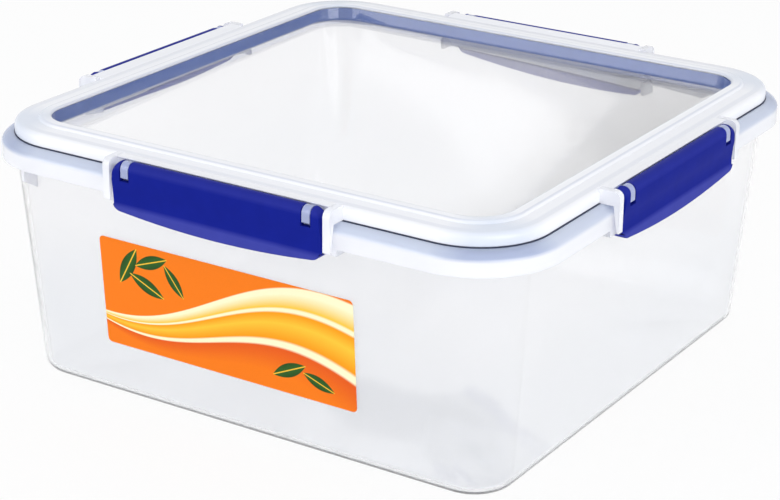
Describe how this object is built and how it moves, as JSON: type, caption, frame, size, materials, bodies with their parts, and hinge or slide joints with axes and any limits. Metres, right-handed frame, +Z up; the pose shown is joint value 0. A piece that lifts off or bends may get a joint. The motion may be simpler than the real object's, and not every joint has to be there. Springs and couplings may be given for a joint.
{
  "type": "food storage container",
  "caption": "Square clear tub with tapered walls, a sealed clear lid and hinged side clips that hook under the flange of the tub to hold the lid shut.",
  "frame": {"origin": "middle of the base, on the surface that the box stands on", "axes": "+Z up out of the tub, the labelled side towards -Y, +X to the right of the label"},
  "size_m": [0.2656, 0.2656, 0.1128],
  "materials": {
    "tub_plastic": "gloss",
    "lid_plastic": "gloss",
    "seal_rubber": "satin",
    "label_film": "satin",
    "clip_plastic": "gloss"
  },
  "bodies": {
    "tub": {"tub": "tub_plastic", "label": "label_film"},
    "lid": {"lid": "lid_plastic", "seal": "seal_rubber"},
    "clip_right": {"clip_right": "clip_plastic"},
    "clip_back": {"clip_back": "clip_plastic"},
    "clip_left": {"clip_left": "clip_plastic"},
    "clip_front": {"clip_front": "clip_plastic"}
  },
  "joints": [
    {"name": "lid_lift", "type": "slide", "parent": "tub", "child": "lid", "axis": [0, 0, 1], "range_m": [0, 0.12]},
    {"name": "clip_right_hinge", "type": "hinge", "parent": "lid", "child": "clip_right", "pos_m": [0.1296, 0, 0.1089], "axis": [0, -1, 0], "range_deg": [0, 110]},
    {"name": "clip_back_hinge", "type": "hinge", "parent": "lid", "child": "clip_back", "pos_m": [0, 0.1296, 0.1089], "axis": [1, 0, 0], "range_deg": [0, 110]},
    {"name": "clip_left_hinge", "type": "hinge", "parent": "lid", "child": "clip_left", "pos_m": [-0.1296, 0, 0.1089], "axis": [0, 1, 0], "range_deg": [0, 110]},
    {"name": "clip_front_hinge", "type": "hinge", "parent": "lid", "child": "clip_front", "pos_m": [0, -0.1296, 0.1089], "axis": [-1, 0, 0], "range_deg": [0, 110]}
  ]
}
